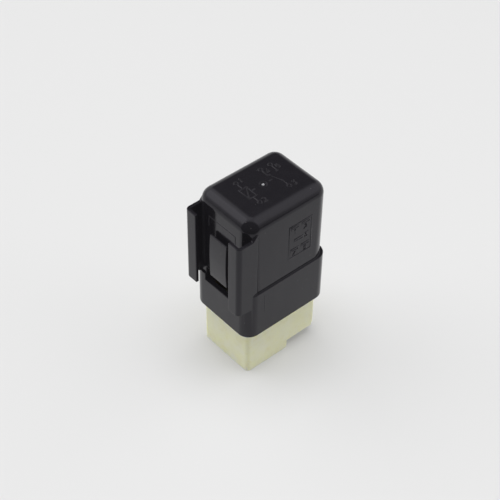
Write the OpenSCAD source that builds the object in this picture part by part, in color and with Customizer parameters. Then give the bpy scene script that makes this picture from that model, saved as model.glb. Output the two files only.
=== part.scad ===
// Changeover relay for a vehicle harness: black cover with a bracket slot, pale connector base.
// The origin is the centre of the connector mouth, on the plane that the relay stands on.
// +Z runs up through the cover and -X faces the bracket slot. Sizes are in millimetres.

/* [Connector base] */
// Step in from the cover's skirt to the shroud, each side
shroud_inset = 2; // [1.9:0.05:2.3]
// Height of the shroud that shows below the cover
shroud_h = 16.7; // [15.5:0.1:20]
// Wall of the shroud
shroud_wall = 1.3; // [1:0.1:1.6]
// Radius of the shroud's upright edges
shroud_r = 0.8; // [0.5:0.1:1.2]
// Depth of the socket from the mouth to its floor
socket_depth = 15.5; // [14.5:0.1:15.8]
// Length of the low part of the rim, from the bracket end
low_rim_l = 15.85; // [14:0.1:17]
// Height of the step in the rim
rim_step = 2.95; // [1.5:0.05:4]
// Bevel at the raised end of the rim
rim_bevel = 1.3; // [0.6:0.1:2]
// Height of the plinth that plugs into the cover
plinth_h = 3.3; // [3:0.1:4]
// Gap between the plinth and the cover, each side
plinth_gap = 0.1; // [0.05:0.01:0.2]
// Width of the window for the plug's lock
lock_w = 8; // [5:0.1:10]
// Height of the window for the plug's lock
lock_h = 3.2; // [2:0.1:4]
// Height of the lock window above the mouth
lock_z = 8; // [6:0.1:9]
// Depth of the keying ribs inside the socket
key_d = 1; // [0.6:0.1:1.2]
// Width of the keying ribs
key_w = 1.4; // [1:0.1:2]
// Spacing of the two keying ribs
key_pitch = 12; // [10:0.1:13]
// Width of the snap bumps that hold the cover
snap_w = 5; // [3:0.1:7]
// How far a snap bump stands proud
snap_d = 0.45; // [0.3:0.05:0.5]
// Height of a snap bump
snap_h = 1.2; // [0.8:0.1:1.5]
// Spacing of the two snap bumps on a side
snap_pitch = 15; // [12:0.1:18]
// Length of the cheeks beside the yoke's foot
cheek_l = 3.6; // [2.4:0.1:5]
// Thickness of the cheeks
cheek_t = 0.9; // [0.7:0.05:1]

/* [Cover] */
// Length of the skirt, along X
skirt_l = 31.1; // [30.4:0.1:33]
// Width of the skirt, along Y
skirt_w = 24; // [23.6:0.1:26]
// Height of the skirt
skirt_h = 16.7; // [14:0.1:18]
// Radius of the skirt's upright edges
skirt_r = 4; // [3:0.1:4.5]
// Width of the ledge between the skirt and the upper body
ledge = 0.5; // [0.3:0.05:0.8]
// Height of the upper body above the ledge
body_h = 26.8; // [26:0.1:30]
// Radius of the upper body's upright edges, at the ledge
body_r = 5; // [4:0.1:5.4]
// Draft of the upper body, each side over its height
draft = 0.2; // [0:0.05:0.4]
// Radius of the rounded top edges
top_r = 4; // [2:0.1:4.5]
// Wall of the cover
cover_wall = 1.2; // [1:0.05:1.3]
// Radius of the gate dimple in the top
gate_r = 1.1; // [0.6:0.1:1.6]
// Depth of the gate dimple
gate_d = 0.35; // [0.2:0.05:0.6]

/* [Bracket slot] */
// How far the rails stand out from the skirt's end face
rail_out = 3.1; // [2.8:0.05:3.5]
// Height of the rails
rail_h = 26; // [20:0.1:27.5]
// Drop of the rails' feet below the ledge
rail_drop = 5; // [4:0.1:6]
// Thickness of the rails' webs
web_t = 1.1; // [0.9:0.1:1.3]
// Thickness of the rails' flanges
flange_t = 1; // [0.8:0.1:1.2]
// Width of the opening between the flanges
slot_open = 14; // [12:0.1:16]
// Radius of the rails' outer edges
rail_r = 1.4; // [0.6:0.1:1.6]
// Length of the rails' webs, from the flanges' faces back along the body's sides
web_l = 7.1; // [6.8:0.1:8]
// Height of the gussets that tie the tops of the webs to the body
gusset_h = 1.6; // [1:0.1:2]
// Length of the gussets
gusset_l = 2; // [1.5:0.1:2.4]
// Drop of the skirt's end rim below the ledge
rim_drop = 5.5; // [4:0.1:6]
// Drop of the slot's floor below the ledge
floor_drop = 3.1; // [2:0.1:3.8]
// Width of the gap in the slot's floor
floor_open = 13.6; // [11:0.1:15]
// Width of the latch finger
latch_w = 7.2; // [5:0.1:9]
// Height of the latch finger
latch_h = 15.9; // [12:0.1:17]
// Thickness of the latch finger
latch_t = 0.95; // [0.8:0.05:1.1]
// Gap behind the latch finger, in which it flexes
latch_gap = 0.6; // [0.4:0.05:0.8]
// Height of the foot that joins the finger to the wall
latch_foot = 1.8; // [1.2:0.1:3]
// Height of the foot above the end rim
latch_rise = 4.8; // [3:0.1:6]
// How far the finger's face bows out at its middle
latch_bow = 0.3; // [0.1:0.05:0.4]

/* [Magnet] */
// Thickness of the yoke's sheet
yoke_t = 1.6; // [1.4:0.1:2]
// Room behind the yoke for the return spring
spring_bay = 3.45; // [3.2:0.05:3.7]
// Height of the bobbin
bobbin_h = 25.5; // [22:0.1:26]
// Gap between the bobbin's square flanges and the posts beside them
flange_gap = 0.5; // [0.4:0.05:0.7]
// Thickness of the bobbin's flanges
bobbin_flange_t = 1; // [0.8:0.1:1.4]
// Wall of the bobbin's tube
bobbin_wall = 0.85; // [0.6:0.05:1.1]
// Gap between the bobbin and the yoke's leg
bobbin_gap = 0.4; // [0.2:0.05:0.6]
// Depth of the winding below the edge of the flanges
winding_inset = 0.3; // [0.2:0.05:0.8]
// Turns that show down the winding's outer layer
winding_rows = 38; // [20:1:44]
// Radius of the iron core
core_r = 3; // [2.6:0.1:3.3]
// Radius of the core's spigot in the yoke
spigot_r = 2.1; // [1.6:0.1:2.4]
// Radius of the core's pole face
pole_r = 4.2; // [3.8:0.1:4.4]
// Thickness of the core's pole face
pole_t = 1.2; // [1:0.1:1.6]
// Clearance of a turned piece in its hole, on the radius
bore_gap = 0.05; // [0.02:0.01:0.08]

/* [Armature and contacts] */
// Thickness of the armature
armature_t = 1.4; // [1.2:0.1:1.6]
// Angle by which the armature stands open, in degrees
open_angle = 4.5; // [3:0.1:5.5]
// Working gap that is left at the hinge and at a closed contact
touch_gap = 0.05; // [0.03:0.01:0.08]
// Width of the armature's neck between the yoke's ears
neck_w = 9.2; // [8:0.1:9.6]
// Side play of the neck between the ears
neck_gap = 0.15; // [0.1:0.05:0.3]
// Height of the yoke's ears above the pole face
ear_h = 2.2; // [1.8:0.1:2.6]
// Length of the armature's tail behind the hinge
tail_l = 2.3; // [2.1:0.1:2.4]
// Width of the armature's tail
tail_w = 3.2; // [2.6:0.1:4]
// Thickness of the contact blade
blade_t = 0.3; // [0.2:0.05:0.4]
// Width of the contact blade
blade_w = 5; // [4.4:0.1:6]
// Radius of a contact's head
contact_r = 1.9; // [1.6:0.1:2.1]
// Height of a contact's head
contact_h = 0.7; // [0.5:0.05:0.9]
// Radius of a contact's shank
shank_r = 0.9; // [0.7:0.05:1]
// Distance of the contacts beyond the pole face
contact_reach = 3; // [2.8:0.1:3.2]
// Distance of the blade's rivets ahead of the yoke's leg
rivet_setback = 3; // [2.6:0.1:3.4]
// Radius of the rivets that hold the contact blade
rivet_r = 0.7; // [0.5:0.05:0.8]
// Spacing of the two rivets, along Y
rivet_pitch = 2.8; // [2.6:0.1:3]
// Mean radius of the return spring's turns
spring_r = 0.95; // [0.8:0.05:1]
// Radius of the return spring's wire
spring_wire = 0.15; // [0.12:0.01:0.18]
// Thickness of the yoke's lug for the return spring
lug_t = 1; // [0.8:0.1:1.2]
// Turns of the return spring
spring_turns = 14; // [8:1:16]
// Length of the coiled part of the return spring
spring_l = 9; // [7:0.1:10]
// Length of the spring's straight ends beyond the coil
hook_l = 0.4; // [0.3:0.05:0.6]
// Drop of the coil's top below the hinge
hook_drop = 4; // [3:0.1:5]
// Clearance of the spring's ends in their holes
hook_gap = 0.15; // [0.1:0.05:0.25]

/* [Terminals] */
// Width of a plug-in blade
tab_w = 6.3; // [6:0.1:6.5]
// Thickness of the terminals' sheet
tab_t = 0.8; // [0.7:0.05:0.9]
// Depth of the blades' tips inside the mouth
tab_inset = 3; // [2:0.1:4]
// Gap between two blades that stand side by side
tab_space = 1.8; // [1.6:0.1:2.2]
// Width of the strips that carry the fixed contacts
strip_w = 5; // [4:0.1:5.4]
// Width of the posts at the sides of the coil
post_w = 1.5; // [1.3:0.1:1.7]
// Gap between the posts and the wall of the cover
post_wall_gap = 1.1; // [0.9:0.05:1.3]
// Gap between the yoke's side and the posts
post_gap = 1.2; // [1:0.1:1.3]
// Height of the coil posts above the deck
coil_post_h = 8; // [7:0.1:10]
// Height of the common post above the deck
common_post_h = 23; // [18:0.1:24]
// Height of the terminals' shoulders inside the base
shoulder_h = 2.1; // [1.6:0.1:2.3]
// Clearance of the terminals in their slots, each side
slot_gap = 0.05; // [0.03:0.01:0.1]
// Radius of the copper braid
braid_r = 0.65; // [0.5:0.05:0.7]
// Radius of the braid's bend
braid_bend = 3.1; // [2.8:0.1:3.4]
// Radius of the coil wire's tails
wire_r = 0.2; // [0.15:0.01:0.25]
// Length of the suppression resistor's body
resistor_l = 6.5; // [5:0.1:7]
// Radius of the suppression resistor's body
resistor_r = 1.15; // [0.9:0.05:1.3]
// Gap between the resistor and the yoke
resistor_gap = 0.7; // [0.5:0.05:0.9]
// Height of the resistor above the deck
resistor_rise = 1.6; // [1:0.1:3]
// Radius of the resistor's leads
lead_r = 0.3; // [0.25:0.01:0.35]

/* [Hidden] */
eps = 0.01;
// Facets of the round forms that stay true curves
$fn = 64;
// Facets of the rounded top, which is a hull
hull_fn = 40;

// Levels, from the mouth upwards
z_skirt = shroud_h;
z_ledge = z_skirt + skirt_h;
z_top = z_ledge + body_h;
z_rim = z_ledge - rim_drop;
z_floor = z_ledge - floor_drop;
z_rail = z_ledge - rail_drop;
z_latch = z_rim + latch_rise;
z_deck = z_skirt + plinth_h;
z_bobbin = z_deck + yoke_t;
z_pole = z_bobbin + bobbin_h + pole_t;
z_hinge = z_pole + touch_gap;
z_blade = z_hinge + armature_t;

// Half sizes and places along X and Y
body_l = skirt_l - 2 * ledge;
body_w = skirt_w - 2 * ledge;
shroud_l = skirt_l - 2 * shroud_inset;
shroud_w = skirt_w - 2 * shroud_inset;
x_end = body_l / 2;
y_side = body_w / 2;
x_rail = skirt_l / 2 + rail_out;
x_web = web_l - x_rail;
y_post = y_side - cover_wall - post_wall_gap - post_w;
yoke_w = 2 * (y_post - post_gap);
flange_side = 2 * (y_post - flange_gap);
winding_r = flange_side / 2 - winding_inset;
x_yoke = -(x_end - cover_wall) + spring_bay;
x_leg = x_yoke + yoke_t;
x_core = x_leg + bobbin_gap + flange_side / 2;
x_contact = x_core + pole_r + contact_reach;
blade_tip = contact_r + 0.3;
x_strip = x_contact + blade_tip + 0.8;
x_coil_post = x_yoke + 1;
x_spring = x_yoke - 1.5;
x_rivet = x_leg + rivet_setback;
x_resistor = x_yoke - resistor_r - resistor_gap;
z_resistor = z_deck + resistor_rise + resistor_r;
z_coil = z_hinge - hook_drop - spring_l;
z_lug = z_coil - hook_l - lug_t;
z_shoulder = (socket_depth + z_deck) / 2 - shoulder_h / 2;

// Heights of the fixed contacts, from the swing of the moving one
z_open_contact = z_blade - contact_h - touch_gap;
z_closed_contact = z_hinge + (x_contact - x_yoke + contact_r) * sin(open_angle)
    + (armature_t + blade_t + contact_h) * cos(open_angle) + touch_gap;

module rounded_rect(l, w, r) {
    square([l, w - 2 * r], center = true);
    square([l - 2 * r, w], center = true);
    for (x = [-1, 1], y = [-1, 1])
        translate([x * (l / 2 - r), y * (w / 2 - r)]) circle(r);
}

module slab(l, w, r, z0, z1) {
    translate([0, 0, z0]) linear_extrude(z1 - z0) rounded_rect(l, w, r);
}

module box(x0, x1, y0, y1, z0, z1) {
    translate([x0, y0, z0]) cube([x1 - x0, y1 - y0, z1 - z0]);
}

module at_x(x) {
    translate([x, 0, 0]) rotate([90, 0, 90]) children();
}

// Turns the armature and what it carries up about the hinge line
module open_pose() {
    translate([x_yoke, 0, z_hinge]) rotate([0, -open_angle, 0])
        translate([-x_yoke, 0, -z_hinge]) children();
}

// ---- Cover ----

// A tapering block with rounded upright edges and a rounded top; inset shrinks it all round
module body_form(z0, inset) {
    r_low = max(body_r - inset, 0.5);
    r_top = max(top_r - inset, 0.5);
    hull() {
        slab(body_l - 2 * inset, body_w - 2 * inset, r_low, z0, z0 + eps);
        for (x = [-1, 1], y = [-1, 1])
            translate([
                x * (x_end - draft - inset - r_top),
                y * (y_side - draft - inset - r_top),
                z_top - inset - r_top
            ]) sphere(r_top, $fn = hull_fn);
    }
}

// One rail in plan: a web beside the body and a flange that turns in, with a round outer corner
module rail_outline() {
    depth = y_side - slot_open / 2;
    difference() {
        union() {
            translate([rail_r - x_rail, -y_side]) square([web_l - rail_r, depth]);
            translate([-x_rail, rail_r - y_side]) square([web_l, depth - rail_r]);
            translate([rail_r - x_rail, rail_r - y_side]) circle(rail_r);
        }
        translate([flange_t - x_rail, web_t - y_side]) square([web_l, depth]);
    }
}

module web_gusset() {
    z_foot = z_rail + rail_h;
    translate([0, web_t - y_side, 0]) rotate([90, 0, 0]) linear_extrude(web_t)
        polygon([
            [x_web - gusset_l, z_foot - eps], [x_web, z_foot - eps],
            [x_web, z_foot + gusset_h], [x_web - gusset_l / 3, z_foot + gusset_h]
        ]);
}

module bracket_rails() {
    for (side = [0, 1])
        mirror([0, side, 0]) {
            translate([0, 0, z_rail]) linear_extrude(rail_h) rail_outline();
            web_gusset();
        }
}

// The finger stands free of the wall above its foot, and its face is a shallow arc
module latch_finger() {
    x_back = -x_end - latch_gap;
    bow_r = (latch_h * latch_h / 4 + latch_bow * latch_bow) / (2 * latch_bow);
    translate([0, latch_w / 2, 0]) rotate([90, 0, 0]) linear_extrude(latch_w) {
        intersection() {
            translate([x_back - latch_t, z_latch]) square([latch_t, latch_h]);
            translate([x_back - latch_t + bow_r, z_latch + latch_h / 2]) circle(bow_r, $fn = 360);
        }
        translate([x_back - eps, z_latch]) square([latch_gap + 0.3, latch_foot]);
    }
}

module snap_pockets(grow) {
    for (x = [-1, 1], side = [-1, 1])
        translate([x * snap_pitch / 2, side * (skirt_w / 2 - cover_wall - plinth_gap), z_deck - plinth_h / 2])
            cube([snap_w + 2 * grow, 2 * (snap_d + grow), snap_h + 2 * grow], center = true);
}

module cover() {
    wide = 2 * skirt_l;
    color("#1c1c1e") difference() {
        union() {
            difference() {
                slab(skirt_l, skirt_w, skirt_r, z_skirt, z_ledge);
                // The end rim stands lower than the ledge, with a shoulder under each rail
                box(-wide, -x_end, -(y_side - web_t), y_side - web_t, z_floor, z_ledge + eps);
                box(-wide, -x_end, -floor_open / 2, floor_open / 2, z_rim, z_ledge + eps);
            }
            body_form(z_skirt + plinth_h, 0);
            bracket_rails();
            latch_finger();
        }
        // The window through the end wall, between the end rim and the finger's foot
        box(-wide, -x_end + cover_wall + draft, -floor_open / 2, floor_open / 2, z_rim, z_latch);
        // The skirt is hollow to just under the end rim, and to just under the ledge elsewhere
        slab(skirt_l - 2 * cover_wall, skirt_w - 2 * cover_wall, skirt_r - cover_wall,
            z_skirt - eps, z_rim - cover_wall);
        intersection() {
            slab(skirt_l - 2 * cover_wall, skirt_w - 2 * cover_wall, skirt_r - cover_wall,
                z_rim - cover_wall - eps, z_ledge - cover_wall);
            box(-x_end + cover_wall, wide, -skirt_w, skirt_w, z_skirt, z_top);
        }
        body_form(z_skirt + eps, cover_wall);
        snap_pockets(plinth_gap);
        translate([0, 0, z_top - gate_d]) difference() {
            cylinder(h = 1, r = gate_r);
            translate([0, 0, -eps]) cylinder(h = gate_d * 0.7, r = gate_r * 0.35);
        }
    }
}

// ---- Terminals ----

// Outlines in the Y-Z plane; g grows every edge, to cut the slots in the base
module tab_outline(y0, g) {
    bevel = g > 0 ? 0 : tab_t;
    z_tip = tab_inset - g;
    polygon([
        [y0 - g, z_tip + bevel], [y0 - g + bevel, z_tip],
        [y0 + tab_w + g - bevel, z_tip], [y0 + tab_w + g, z_tip + bevel],
        [y0 + tab_w + g, z_shoulder + shoulder_h + g], [y0 - g, z_shoulder + shoulder_h + g]
    ]);
}

module post_outline(y0, width, z1, g) {
    translate([y0 - g, z_shoulder - g]) square([width + 2 * g, z1 - z_shoulder + 2 * g]);
}

module contact_strip_outline(side, z1, g) {
    y0 = side > 0 ? tab_space / 2 : -tab_space / 2 - tab_w;
    tab_outline(y0, g);
    post_outline(y0 + (tab_w - strip_w) / 2, strip_w, z1, g);
}

module coil_terminal_outline(side, g) {
    y0 = side > 0 ? tab_space / 2 : -tab_space / 2 - tab_w;
    y_out = y_post + post_w;
    tab_outline(y0, g);
    translate([side > 0 ? y0 - g : -y_out - g, z_shoulder - g])
        square([y_out - tab_space / 2 + 2 * g, shoulder_h + 2 * g]);
    post_outline(side > 0 ? y_post : -y_out, post_w, z_deck + coil_post_h, g);
}

module common_outline(g) {
    y_out = y_post + post_w;
    tab_outline(-tab_w / 2, g);
    translate([-y_out - g, z_shoulder - g])
        square([y_out + tab_w / 2 + 2 * g, shoulder_h + 2 * g]);
    post_outline(-y_out, post_w, z_deck + common_post_h, g);
}

module sheet_at(x, g) {
    at_x(x - g) linear_extrude(tab_t + 2 * g) children();
}

module terminal_slots(g) {
    for (side = [-1, 1]) {
        sheet_at(x_strip, g) contact_strip_outline(side, z_deck + 1, g);
        sheet_at(x_coil_post, g) coil_terminal_outline(side, g);
    }
    sheet_at(x_core - tab_t / 2, g) common_outline(g);
}

// A strip that rises from its blade and turns in over or under the moving contact
module contact_terminal(side, z_arm) {
    y_near = side * (tab_space / 2 + (tab_w - strip_w) / 2);
    y_far = side * (tab_space / 2 + (tab_w + strip_w) / 2);
    y_over = -side * (contact_r + 0.2);
    x_back = x_contact - blade_tip;
    x_neck = x_strip - 0.8;
    difference() {
        union() {
            sheet_at(x_strip, 0) contact_strip_outline(side, z_arm + tab_t, 0);
            translate([0, 0, z_arm]) linear_extrude(tab_t)
                polygon([
                    [x_back, y_far], [x_strip + eps, y_far], [x_strip + eps, y_near],
                    [x_neck, y_near], [x_neck, y_over], [x_back, y_over]
                ]);
        }
        translate([x_contact, 0, z_arm - 1]) cylinder(h = tab_t + 2, r = shank_r + bore_gap);
    }
}

module normally_open_terminal() {
    color("#c9b27c") contact_terminal(-1, z_open_contact - contact_h - tab_t);
}

module normally_closed_terminal() {
    color("#c9b27c") contact_terminal(1, z_closed_contact + contact_h);
}

module common_terminal() {
    color("#c9b27c") sheet_at(x_core - tab_t / 2, 0) common_outline(0);
}

module coil_terminal_a() {
    color("#c9b27c") sheet_at(x_coil_post, 0) coil_terminal_outline(-1, 0);
}

module coil_terminal_b() {
    color("#c9b27c") sheet_at(x_coil_post, 0) coil_terminal_outline(1, 0);
}

// A contact rivet: its head at z, its shank through the sheet, its clenched end beyond it
module fixed_contact(z, up) {
    translate([x_contact, 0, z]) mirror([0, 0, up ? 1 : 0]) {
        cylinder(h = contact_h, r = contact_r);
        cylinder(h = contact_h + tab_t + 0.25, r = shank_r);
        translate([0, 0, contact_h + tab_t]) cylinder(h = 0.3, r = shank_r + 0.35);
    }
}

module normally_open_contact() {
    color("#c4c6c8") fixed_contact(z_open_contact, true);
}

module normally_closed_contact() {
    color("#c4c6c8") fixed_contact(z_closed_contact, false);
}

// ---- Connector base ----

module shroud_profile() {
    x_low = -shroud_l / 2 + low_rim_l;
    x_far = shroud_l / 2;
    polygon([
        [-x_far, 0], [x_low, 0], [x_low, rim_step], [x_far - rim_bevel, rim_step],
        [x_far, rim_step + rim_bevel], [x_far, z_deck], [-x_far, z_deck]
    ]);
}

module connector_base() {
    inner_l = shroud_l - 2 * shroud_wall;
    inner_w = shroud_w - 2 * shroud_wall;
    cheek_y = yoke_w / 2 + slot_gap;
    plinth_l = skirt_l - 2 * (cover_wall + plinth_gap);
    plinth_w = skirt_w - 2 * (cover_wall + plinth_gap);
    color("#c9c8a4") difference() {
        union() {
            intersection() {
                slab(shroud_l, shroud_w, shroud_r, 0, z_deck);
                translate([0, shroud_w, 0]) rotate([90, 0, 0])
                    linear_extrude(2 * shroud_w) shroud_profile();
            }
            slab(plinth_l, plinth_w, skirt_r - cover_wall - plinth_gap, z_skirt + plinth_gap, z_deck);
            snap_pockets(0);
            // Cheeks that hold the yoke's foot from the sides
            for (side = [0, 1]) mirror([0, side, 0])
                box(x_core - cheek_l / 2, x_core + cheek_l / 2, cheek_y, cheek_y + cheek_t,
                    z_deck - eps, z_bobbin - yoke_t / 8);
        }
        difference() {
            slab(inner_l, inner_w, shroud_r / 2, -eps, socket_depth);
            for (x = [-1, 1])
                box(x * key_pitch / 2 - key_w / 2, x * key_pitch / 2 + key_w / 2,
                    inner_w / 2 - key_d, inner_w / 2 + eps, rim_step + 1, socket_depth + eps);
        }
        box(0, shroud_l, -lock_w / 2, lock_w / 2, lock_z, lock_z + lock_h);
        terminal_slots(slot_gap);
    }
}

// ---- Magnet ----

module yoke_profile() {
    x_front = x_core + pole_r;
    translate([x_leg, z_deck]) square([x_front - x_leg, yoke_t]);
    translate([x_yoke, z_bobbin]) square([yoke_t, z_pole - z_bobbin]);
    intersection() {
        translate([x_leg, z_bobbin]) circle(yoke_t);
        translate([x_yoke, z_deck]) square([yoke_t, yoke_t]);
    }
}

module yoke() {
    color("#b9bcbf") difference() {
        union() {
            difference() {
                translate([0, yoke_w / 2, 0]) rotate([90, 0, 0]) linear_extrude(yoke_w) yoke_profile();
                // The window that the lug is lanced out of
                box(x_yoke - yoke_t, x_leg + yoke_t, -tail_w / 2, tail_w / 2, z_lug - yoke_t, z_lug);
            }
            // Ears beside the armature's neck
            for (side = [-1, 1])
                box(x_yoke, x_leg, side > 0 ? neck_w / 2 + neck_gap : -yoke_w / 2,
                    side > 0 ? yoke_w / 2 : -neck_w / 2 - neck_gap, z_pole - eps, z_pole + ear_h);
            // Lug that anchors the return spring
            box(x_yoke - tail_l, x_yoke + eps, -tail_w / 2, tail_w / 2, z_lug, z_lug + lug_t);
        }
        translate([x_core, 0, z_deck - 1]) cylinder(h = yoke_t + 2, r = spigot_r + bore_gap);
        translate([x_spring, 0, z_lug - eps]) cylinder(h = lug_t + 2 * eps, r = spring_wire + hook_gap);
    }
}

module iron_core() {
    color("#9a9c9f") translate([x_core, 0, 0]) {
        translate([0, 0, z_deck + bore_gap]) cylinder(h = yoke_t, r = spigot_r);
        translate([0, 0, z_bobbin]) cylinder(h = bobbin_h + eps, r = core_r);
        translate([0, 0, z_pole - pole_t]) cylinder(h = pole_t, r = pole_r);
    }
}

module bobbin() {
    z_upper = z_bobbin + bobbin_h - bobbin_flange_t;
    color("#e6e2d3") translate([x_core, 0, 0]) difference() {
        union() {
            slab(flange_side, flange_side, 1, z_bobbin, z_bobbin + bobbin_flange_t);
            slab(flange_side, flange_side, 1, z_upper, z_upper + bobbin_flange_t);
            translate([0, 0, z_bobbin]) cylinder(h = bobbin_h, r = core_r + bore_gap + bobbin_wall);
        }
        translate([0, 0, z_bobbin - 1]) cylinder(h = bobbin_h + 2, r = core_r + bore_gap);
    }
}

module coil_winding() {
    r_in = core_r + bore_gap + bobbin_wall + bore_gap;
    z0 = z_bobbin + bobbin_flange_t;
    height = bobbin_h - 2 * bobbin_flange_t;
    row = height / winding_rows;
    crest = [for (i = [0 : winding_rows - 1], half = [0, 1])
        [winding_r - (half == 0 ? row / 3 : 0), z0 + (i + half / 2) * row]];
    color("#a4562b") translate([x_core, 0, 0]) rotate_extrude()
        polygon(concat([[r_in, z0]], crest, [[winding_r - row / 3, z0 + height], [r_in, z0 + height]]));
}

// ---- Armature ----

module armature_outline() {
    x_front = x_core + pole_r + 0.1;
    x_shoulder = x_leg + 0.3;
    polygon([
        [x_shoulder, -yoke_w / 2], [x_front - 1, -yoke_w / 2], [x_front, -yoke_w / 2 + 1],
        [x_front, yoke_w / 2 - 1], [x_front - 1, yoke_w / 2], [x_shoulder, yoke_w / 2],
        [x_shoulder, neck_w / 2], [x_yoke, neck_w / 2], [x_yoke, tail_w / 2],
        [x_yoke - tail_l, tail_w / 2], [x_yoke - tail_l, -tail_w / 2], [x_yoke, -tail_w / 2],
        [x_yoke, -neck_w / 2], [x_shoulder, -neck_w / 2]
    ]);
}

module armature() {
    color("#a9acaf") open_pose() difference() {
        translate([0, 0, z_hinge]) linear_extrude(armature_t) armature_outline();
        for (side = [-1, 1])
            translate([x_rivet, side * rivet_pitch / 2, z_hinge - 1])
                cylinder(h = armature_t + 2, r = rivet_r + bore_gap);
        translate([x_spring, 0, z_hinge - 1]) cylinder(h = armature_t + 2, r = spring_wire + 2 * hook_gap);
    }
}

module contact_blade() {
    x_back = x_leg + 1.2;
    waist = blade_w / 2 - 0.6;
    x_waist = x_core + pole_r;
    color("#c98f55") open_pose() difference() {
        translate([0, 0, z_blade]) linear_extrude(blade_t) {
            polygon([
                [x_back, -blade_w / 2], [x_waist - 2, -blade_w / 2], [x_waist, -waist],
                [x_contact, -blade_tip], [x_contact, blade_tip], [x_waist, waist],
                [x_waist - 2, blade_w / 2], [x_back, blade_w / 2]
            ]);
            translate([x_contact, 0]) circle(blade_tip);
        }
        for (side = [-1, 1])
            translate([x_rivet, side * rivet_pitch / 2, z_blade - 1])
                cylinder(h = blade_t + 2, r = rivet_r + bore_gap);
        translate([x_contact, 0, z_blade - 1]) cylinder(h = blade_t + 2, r = shank_r + bore_gap);
    }
}

module blade_rivets() {
    color("#b5b7ba") open_pose() for (side = [-1, 1])
        translate([x_rivet, side * rivet_pitch / 2, z_hinge + 0.1]) {
            cylinder(h = armature_t + blade_t, r = rivet_r);
            translate([0, 0, armature_t - 0.1 + blade_t]) cylinder(h = 0.5, r = rivet_r + 0.45);
        }
}

module moving_contact() {
    color("#c4c6c8") open_pose() translate([x_contact, 0, z_blade - contact_h]) {
        cylinder(h = contact_h, r = contact_r);
        cylinder(h = 2 * contact_h + blade_t, r = shank_r);
        translate([0, 0, contact_h + blade_t]) cylinder(h = contact_h, r = contact_r);
    }
}

// ---- Swept wires ----

// Sweeps a round wire through points, with its section square to the path at each one
function unit(v) = v / norm(v);
function ring(p, d, r, sides) =
    let (a = unit(cross(d, abs(d.x) > 0.9 ? [0, 1, 0] : [1, 0, 0])), b = cross(d, a))
    [for (i = [0 : sides - 1]) p + r * (cos(360 * i / sides) * a + sin(360 * i / sides) * b)];

module wire(path, r, sides) {
    n = len(path);
    points = [for (i = [0 : n - 1])
        each ring(path[i], unit(path[min(i + 1, n - 1)] - path[max(i - 1, 0)]), r, sides)];
    polyhedron(points, concat(
        [[for (i = [0 : sides - 1]) sides - 1 - i]],
        [for (k = [0 : n - 2], i = [0 : sides - 1])
            let (j = (i + 1) % sides) [k * sides + i, k * sides + j, (k + 1) * sides + j, (k + 1) * sides + i]],
        [[for (i = [0 : sides - 1]) (n - 1) * sides + i]]
    ));
}

// A tension spring with straight ends that pass through the tail and the yoke's lug
module return_spring() {
    steps = 12 * spring_turns;
    tail_top = z_hinge + armature_t + 0.6;
    lug_under = z_lug - 0.6;
    coil = [for (i = [0 : steps])
        let (t = i / steps, a = 360 * spring_turns * t, grip = min(1, min(i, steps - i) / 6))
        [x_spring + spring_r * grip * cos(a), spring_r * grip * sin(a), z_coil + spring_l * t]];
    color("#8d9095") wire(concat([[x_spring, 0, lug_under]], coil, [[x_spring, 0, tail_top]]), spring_wire, 6);
}

// ---- Braid, tails and resistor ----

// A braid that rises from the common post and turns down onto the contact blade
module flexible_braid() {
    y_start = -(y_post + post_w / 2);
    y_end = y_start + 2 * braid_bend;
    z_start = z_deck + common_post_h;
    z_bend = z_hinge + 3.6;
    rise = (x_core - x_yoke) * sin(open_angle) + (armature_t + blade_t) * cos(open_angle);
    z_end = z_hinge + rise + 0.2;
    color("#b06a3a") translate([x_core, 0, 0]) {
        translate([0, y_start, z_start]) cylinder(h = z_bend - z_start, r = braid_r);
        translate([0, y_start + braid_bend, z_bend]) rotate([90, 0, 90])
            rotate_extrude(angle = 180) translate([braid_bend, 0]) circle(braid_r);
        translate([0, y_end, z_end]) cylinder(h = z_bend - z_end, r = braid_r);
    }
}

// The winding's end runs to its post, with three wraps round it
module coil_tail(side) {
    y_mid = y_post + post_w / 2;
    x_mid = x_coil_post + tab_t / 2;
    z_wire = z_deck + coil_post_h - 2;
    dir = unit([x_mid - x_core, y_mid]);
    start = [x_core, 0] + (winding_r + 0.05) * dir;
    run = norm([x_mid - x_core, y_mid]) - winding_r - 1;
    mirror([0, side > 0 ? 0 : 1, 0]) {
        translate([start.x, start.y, z_wire]) rotate([0, 90, atan2(dir.y, dir.x)])
            cylinder(h = run, r = wire_r);
        for (i = [-1, 0, 1])
            translate([x_mid, y_mid, z_wire + i * 2.2 * wire_r]) difference() {
                cube([tab_t + 0.1 + 4 * wire_r, post_w + 0.1 + 4 * wire_r, 2 * wire_r], center = true);
                cube([tab_t + 0.1, post_w + 0.1, 1], center = true);
            }
    }
}

module coil_tail_a() {
    color("#a4562b") coil_tail(-1);
}

module coil_tail_b() {
    color("#a4562b") coil_tail(1);
}

module resistor_place() {
    translate([x_resistor, 0, z_resistor]) rotate([-90, 0, 0]) children();
}

// A body with a thicker cap at each end
module resistor_body() {
    cap = resistor_l / 4;
    neck = resistor_r * 0.86;
    color("#8fa5b3") resistor_place() {
        translate([0, 0, -resistor_l / 2]) cylinder(h = resistor_l, r = neck);
        for (side = [-1, 1])
            translate([0, 0, side * (resistor_l - cap) / 2]) cylinder(h = cap, r = resistor_r, center = true);
    }
}

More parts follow.
